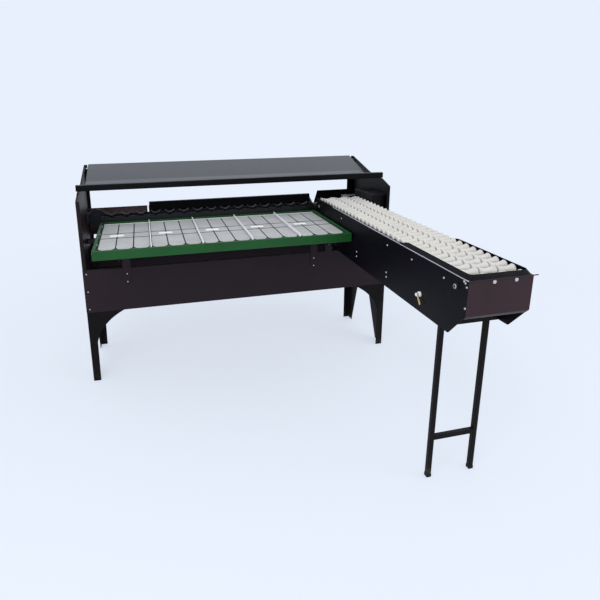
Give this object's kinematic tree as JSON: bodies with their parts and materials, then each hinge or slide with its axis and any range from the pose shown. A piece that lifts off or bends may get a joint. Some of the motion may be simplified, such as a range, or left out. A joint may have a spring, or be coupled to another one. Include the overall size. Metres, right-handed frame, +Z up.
{
  "type": "egg grading machine",
  "caption": "Egg grading machine: a roller conveyor with candling lamps feeds a walking beam and weighing levers that tip eggs onto the mats of a collecting table.",
  "frame": {"origin": "centre of the machine's bounding box, on the floor", "axes": "+X along the body towards the conveyor's end, -Y the front, which the conveyor reaches out to, +Z up"},
  "size_m": [1.6174, 1.6742, 1.043],
  "materials": {
    "black_paint": "satin powder coat",
    "brown_paint": "satin powder coat",
    "hood_paint": "semi-gloss powder coat",
    "green_paint": "satin paint",
    "grey_mat": "matt ribbed mat",
    "white_plastic": "smooth white plastic",
    "black_plastic": "matt black plastic",
    "brushed_steel": "brushed bare steel",
    "dark_steel": "dark grey paint",
    "brass": "polished brass",
    "motor_paint": "grey machine enamel",
    "lamp": "warm white diffuser over lamps"
  },
  "bodies": {
    "machine_body": {"end_plate_left": "black_paint", "end_plate_right": "black_paint", "front_rail": "black_paint", "hood_pivot_rod": "brushed_steel", "front_panel": "brown_paint", "rear_panel": "brown_paint", "rear_end_panel": "black_paint", "rear_cover": "black_paint", "rear_beam": "brown_paint", "leg_front_left": "black_paint", "leg_front_right": "black_paint", "leg_back_left": "black_paint", "leg_back_right": "black_paint", "table_frame": "green_paint", "table_deck": "grey_mat", "lane_dividers": "white_plastic", "table_bracket_left": "black_paint", "table_bracket_right": "black_paint", "conveyor_wall_left": "black_paint", "conveyor_wall_right": "black_paint", "conveyor_front_plate": "brown_paint", "conveyor_collar": "black_paint", "roller_chain": "white_plastic", "bearing_tail_left": "brushed_steel", "bearing_tail_right": "brushed_steel", "bearing_drive_left": "brushed_steel", "bearing_drive_right": "brushed_steel", "candling_lamp": "lamp", "belly_tray": "black_paint", "conveyor_gearmotor": "motor_paint", "drive_cover": "black_paint", "stand_frame": "black_paint", "station_beam": "dark_steel", "lever_pivot_rod": "brushed_steel", "crank_bearing": "dark_steel", "beam_gearmotor": "motor_paint", "switch_body": "white_plastic", "power_inlet": "black_plastic"},
    "hood": {"hood": "hood_paint"},
    "tail_shaft": {"tail_shaft": "brushed_steel"},
    "drive_shaft": {"drive_shaft": "brushed_steel"},
    "crank_drive": {"crank_drive": "brushed_steel"},
    "crank_idler": {"crank_idler": "brushed_steel"},
    "walking_beam": {"walking_beam": "brushed_steel"},
    "switch_lever": {"switch_lever": "brass"},
    "weigh_lever_01": {"weigh_lever_01": "dark_steel"},
    "weigh_lever_02": {"weigh_lever_02": "dark_steel"},
    "weigh_lever_03": {"weigh_lever_03": "dark_steel"},
    "weigh_lever_04": {"weigh_lever_04": "dark_steel"},
    "weigh_lever_05": {"weigh_lever_05": "dark_steel"},
    "weigh_lever_06": {"weigh_lever_06": "dark_steel"},
    "weigh_lever_07": {"weigh_lever_07": "dark_steel"},
    "weigh_lever_08": {"weigh_lever_08": "dark_steel"},
    "weigh_lever_09": {"weigh_lever_09": "dark_steel"},
    "weigh_lever_10": {"weigh_lever_10": "dark_steel"},
    "weigh_lever_11": {"weigh_lever_11": "dark_steel"},
    "weigh_lever_12": {"weigh_lever_12": "dark_steel"},
    "weigh_lever_13": {"weigh_lever_13": "dark_steel"},
    "weigh_lever_14": {"weigh_lever_14": "dark_steel"},
    "weigh_lever_15": {"weigh_lever_15": "dark_steel"}
  },
  "joints": [
    {"name": "hood_hinge", "type": "hinge", "parent": "machine_body", "child": "hood", "pos_m": [-0.00365, 0.80515, 1.022], "axis": [-1, 0, 0], "range_deg": [0, 70]},
    {"name": "drive_shaft_spin", "type": "hinge", "parent": "machine_body", "child": "drive_shaft", "pos_m": [0.58935, 0.51715, 0.797], "axis": [-1, 0, 0], "continuous": true},
    {"name": "tail_shaft_spin", "type": "hinge", "parent": "machine_body", "child": "tail_shaft", "pos_m": [0.58935, -0.77485, 0.797], "axis": [-1, 0, 0], "continuous": true},
    {"name": "crank_drive_spin", "type": "hinge", "parent": "machine_body", "child": "crank_drive", "pos_m": [0.73402, 0.68915, 0.77], "axis": [0, 1, 0], "continuous": true},
    {"name": "crank_idler_spin", "type": "hinge", "parent": "machine_body", "child": "crank_idler", "pos_m": [-0.74198, 0.68915, 0.77], "axis": [0, 1, 0], "continuous": true},
    {"name": "walking_beam_pin", "type": "hinge", "parent": "crank_drive", "child": "walking_beam", "pos_m": [0.77235, 0.66915, 0.77], "axis": [0, 1, 0], "continuous": true},
    {"name": "switch_lever_hinge", "type": "hinge", "parent": "machine_body", "child": "switch_lever", "pos_m": [0.45895, -0.56685, 0.688], "axis": [1, 0, 0], "range_deg": [0, 78]},
    {"name": "weigh_lever_01_pivot", "type": "hinge", "parent": "machine_body", "child": "weigh_lever_01", "pos_m": [-0.66732, 0.65515, 0.768], "axis": [1, 0, 0], "range_deg": [0, 15]},
    {"name": "weigh_lever_02_pivot", "type": "hinge", "parent": "machine_body", "child": "weigh_lever_02", "pos_m": [-0.59065, 0.65515, 0.768], "axis": [1, 0, 0], "range_deg": [0, 15]},
    {"name": "weigh_lever_03_pivot", "type": "hinge", "parent": "machine_body", "child": "weigh_lever_03", "pos_m": [-0.51398, 0.65515, 0.768], "axis": [1, 0, 0], "range_deg": [0, 15]},
    {"name": "weigh_lever_04_pivot", "type": "hinge", "parent": "machine_body", "child": "weigh_lever_04", "pos_m": [-0.43732, 0.65515, 0.768], "axis": [1, 0, 0], "range_deg": [0, 15]},
    {"name": "weigh_lever_05_pivot", "type": "hinge", "parent": "machine_body", "child": "weigh_lever_05", "pos_m": [-0.36065, 0.65515, 0.768], "axis": [1, 0, 0], "range_deg": [0, 15]},
    {"name": "weigh_lever_06_pivot", "type": "hinge", "parent": "machine_body", "child": "weigh_lever_06", "pos_m": [-0.28398, 0.65515, 0.768], "axis": [1, 0, 0], "range_deg": [0, 15]},
    {"name": "weigh_lever_07_pivot", "type": "hinge", "parent": "machine_body", "child": "weigh_lever_07", "pos_m": [-0.20732, 0.65515, 0.768], "axis": [1, 0, 0], "range_deg": [0, 15]},
    {"name": "weigh_lever_08_pivot", "type": "hinge", "parent": "machine_body", "child": "weigh_lever_08", "pos_m": [-0.13065, 0.65515, 0.768], "axis": [1, 0, 0], "range_deg": [0, 15]},
    {"name": "weigh_lever_09_pivot", "type": "hinge", "parent": "machine_body", "child": "weigh_lever_09", "pos_m": [-0.05398, 0.65515, 0.768], "axis": [1, 0, 0], "range_deg": [0, 15]},
    {"name": "weigh_lever_10_pivot", "type": "hinge", "parent": "machine_body", "child": "weigh_lever_10", "pos_m": [0.02268, 0.65515, 0.768], "axis": [1, 0, 0], "range_deg": [0, 15]},
    {"name": "weigh_lever_11_pivot", "type": "hinge", "parent": "machine_body", "child": "weigh_lever_11", "pos_m": [0.09935, 0.65515, 0.768], "axis": [1, 0, 0], "range_deg": [0, 15]},
    {"name": "weigh_lever_12_pivot", "type": "hinge", "parent": "machine_body", "child": "weigh_lever_12", "pos_m": [0.17602, 0.65515, 0.768], "axis": [1, 0, 0], "range_deg": [0, 15]},
    {"name": "weigh_lever_13_pivot", "type": "hinge", "parent": "machine_body", "child": "weigh_lever_13", "pos_m": [0.25268, 0.65515, 0.768], "axis": [1, 0, 0], "range_deg": [0, 15]},
    {"name": "weigh_lever_14_pivot", "type": "hinge", "parent": "machine_body", "child": "weigh_lever_14", "pos_m": [0.32935, 0.65515, 0.768], "axis": [1, 0, 0], "range_deg": [0, 15]},
    {"name": "weigh_lever_15_pivot", "type": "hinge", "parent": "machine_body", "child": "weigh_lever_15", "pos_m": [0.40602, 0.65515, 0.768], "axis": [1, 0, 0], "range_deg": [0, 15]}
  ],
  "couplings": [
    {"joint": "tail_shaft_spin", "follows": "drive_shaft_spin", "ratio": 1},
    {"joint": "crank_idler_spin", "follows": "crank_drive_spin", "ratio": 1},
    {"joint": "walking_beam_pin", "follows": "crank_drive_spin", "ratio": -1}
  ]
}
